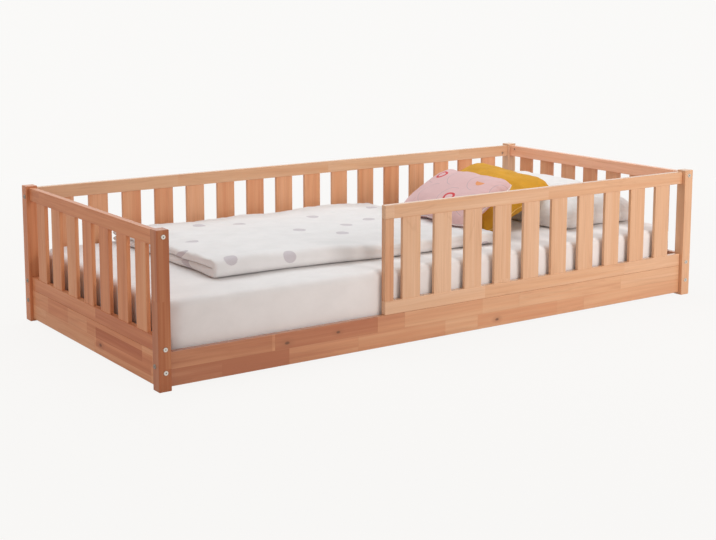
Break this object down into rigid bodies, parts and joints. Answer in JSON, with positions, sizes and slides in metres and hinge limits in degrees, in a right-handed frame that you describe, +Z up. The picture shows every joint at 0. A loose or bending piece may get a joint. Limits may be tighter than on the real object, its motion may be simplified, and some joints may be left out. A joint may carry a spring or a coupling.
{
  "type": "toddler floor bed",
  "caption": "Low slatted wooden floor bed with a fall guard on half of the front, a slatted base, a foam mattress, a folded dotted duvet, a pillow and scatter cushions.",
  "frame": {"origin": "on the floor, at the middle of the bed's footprint", "axes": "+X along the bed to the pillow end, +Y to the back panel, +Z up"},
  "size_m": [2.085, 0.985, 0.446],
  "materials": {
    "beech": "oiled, satin",
    "base_wood": "plain, planed",
    "bolt_metal": "bright zinc plate",
    "nut_metal": "zinc plate",
    "screw_metal": "zinc plate",
    "mattress_ticking": "matt woven cover over foam",
    "white_cotton": "matt cotton",
    "dotted_cotton": "matt cotton, pale grey dots",
    "yellow_cotton": "matt cotton",
    "pink_cotton": null
  },
  "bodies": {
    "frame": {"barrel_nuts": "nut_metal", "base_slat_screws": "screw_metal", "base_slats": "base_wood", "board_dowels": "base_wood", "connector_bolts": "bolt_metal", "front_board": "beech", "front_ledger": "base_wood", "front_left_post": "beech", "front_right_post": "beech", "guard_bottom_rail": "beech", "guard_end_stile": "beech", "guard_slat_1": "beech", "guard_slat_10": "beech", "guard_slat_2": "beech", "guard_slat_3": "beech", "guard_slat_4": "beech", "guard_slat_5": "beech", "guard_slat_6": "beech", "guard_slat_7": "beech", "guard_slat_8": "beech", "guard_slat_9": "beech", "guard_top_rail": "beech", "ledger_screws": "screw_metal", "left_board": "beech", "left_bottom_rail": "beech", "left_slat_1": "beech", "left_slat_2": "beech", "left_slat_3": "beech", "left_slat_4": "beech", "left_slat_5": "beech", "left_slat_6": "beech", "left_slat_7": "beech", "left_top_rail": "beech", "rear_board": "beech", "rear_bottom_rail": "beech", "rear_ledger": "base_wood", "rear_left_post": "beech", "rear_right_post": "beech", "rear_slats": "beech", "rear_top_rail": "beech", "right_board": "beech", "right_bottom_rail": "beech", "right_slat_1": "beech", "right_slat_2": "beech", "right_slat_3": "beech", "right_slat_4": "beech", "right_slat_5": "beech", "right_slat_6": "beech", "right_slat_7": "beech", "right_top_rail": "beech"},
    "mattress": {"mattress": "mattress_ticking", "fitted_sheet": "white_cotton"},
    "duvet": {"duvet": "dotted_cotton"},
    "pillow": {"pillow": "white_cotton"},
    "back_cushion": {"yellow_cushion": "yellow_cotton"},
    "front_cushion": {"pink_cushion": "pink_cotton"}
  },
  "joints": [
    {"name": "mattress_lift", "type": "slide", "parent": "frame", "child": "mattress", "axis": [0, 0, 1], "range_m": [0, 0.45]},
    {"name": "duvet_lift", "type": "slide", "parent": "mattress", "child": "duvet", "axis": [0, 0, 1], "range_m": [0, 0.3]},
    {"name": "pillow_lift", "type": "slide", "parent": "duvet", "child": "pillow", "axis": [0, 0, 1], "range_m": [0, 0.3]},
    {"name": "back_cushion_lift", "type": "slide", "parent": "pillow", "child": "back_cushion", "axis": [0, 0, 1], "range_m": [0, 0.3]},
    {"name": "front_cushion_lift", "type": "slide", "parent": "back_cushion", "child": "front_cushion", "axis": [0, 0, 1], "range_m": [0, 0.3]}
  ]
}
